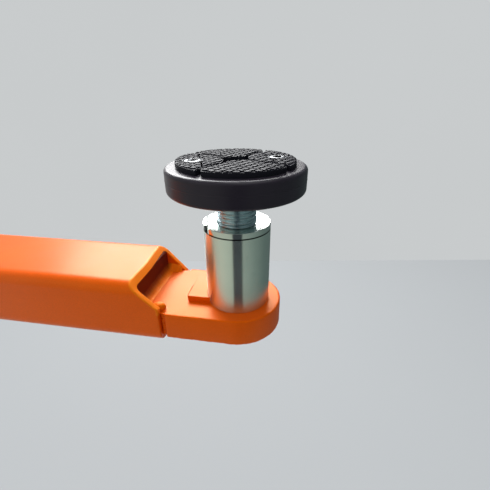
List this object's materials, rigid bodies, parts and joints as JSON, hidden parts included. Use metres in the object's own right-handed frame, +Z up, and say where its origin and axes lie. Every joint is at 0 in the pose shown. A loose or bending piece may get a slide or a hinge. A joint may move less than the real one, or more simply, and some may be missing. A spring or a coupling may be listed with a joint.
{
  "type": "vehicle lift arm tip with screw pad",
  "caption": "Steel lifting arm end: rectangular tube, round-nosed tongue plate, plated sleeve and a screw-adjusted round rubber pad with raised tread.",
  "frame": {"origin": "on the axis of the lifting screw, in the plane of the arm's underside (the foot of the sleeve's spigot)", "axes": "+Z up along the screw, +X out over the nose of the tongue plate; the arm runs back along -X"},
  "size_m": [0.458, 0.12, 0.1727],
  "materials": {
    "arm_paint": "satin orange powder coat over welded steel",
    "zinc_sleeve": "bright zinc plate on turned steel",
    "zinc_screw": "blue-passivated zinc on cut thread",
    "zinc_small": "zinc plate",
    "spring_steel": "oiled phosphated spring steel",
    "bolt_steel": "bright machined steel",
    "pad_rubber": "moulded black rubber, satin"
  },
  "bodies": {
    "arm": {"arm_tube": "arm_paint", "tongue_plate": "arm_paint", "closure_plate": "arm_paint", "weld_mouth": "arm_paint", "weld_sides": "arm_paint", "weld_under": "arm_paint", "stop_block": "arm_paint", "weld_block": "arm_paint", "lift_sleeve": "zinc_sleeve", "sleeve_cap": "zinc_sleeve", "threaded_bush": "zinc_sleeve", "lock_key": "zinc_sleeve", "plate_washer": "zinc_small", "sleeve_circlip": "spring_steel", "stop_bolt": "zinc_small", "stop_washer": "zinc_small", "stop_nut": "zinc_small"},
    "riser": {"foot_washer": "zinc_small"},
    "screw": {"lift_screw": "zinc_screw", "foot_circlip": "spring_steel", "pad_disc": "zinc_small", "weld_screw": "zinc_small", "pad_rubber": "pad_rubber", "pad_bolts": "bolt_steel", "bolt_bushings": "zinc_small"}
  },
  "joints": [
    {"name": "pad_rise", "type": "slide", "parent": "arm", "child": "riser", "axis": [0, 0, 1], "range_m": [-0.02602, 0.03602]},
    {"name": "pad_turn", "type": "hinge", "parent": "riser", "child": "screw", "pos_m": [0, 0, 0.1], "axis": [0, 0, 1], "range_deg": [-2340, 3240]}
  ],
  "couplings": [
    {"joint": "pad_rise", "follows": "pad_turn", "m_per_rad": 0.00063662}
  ]
}
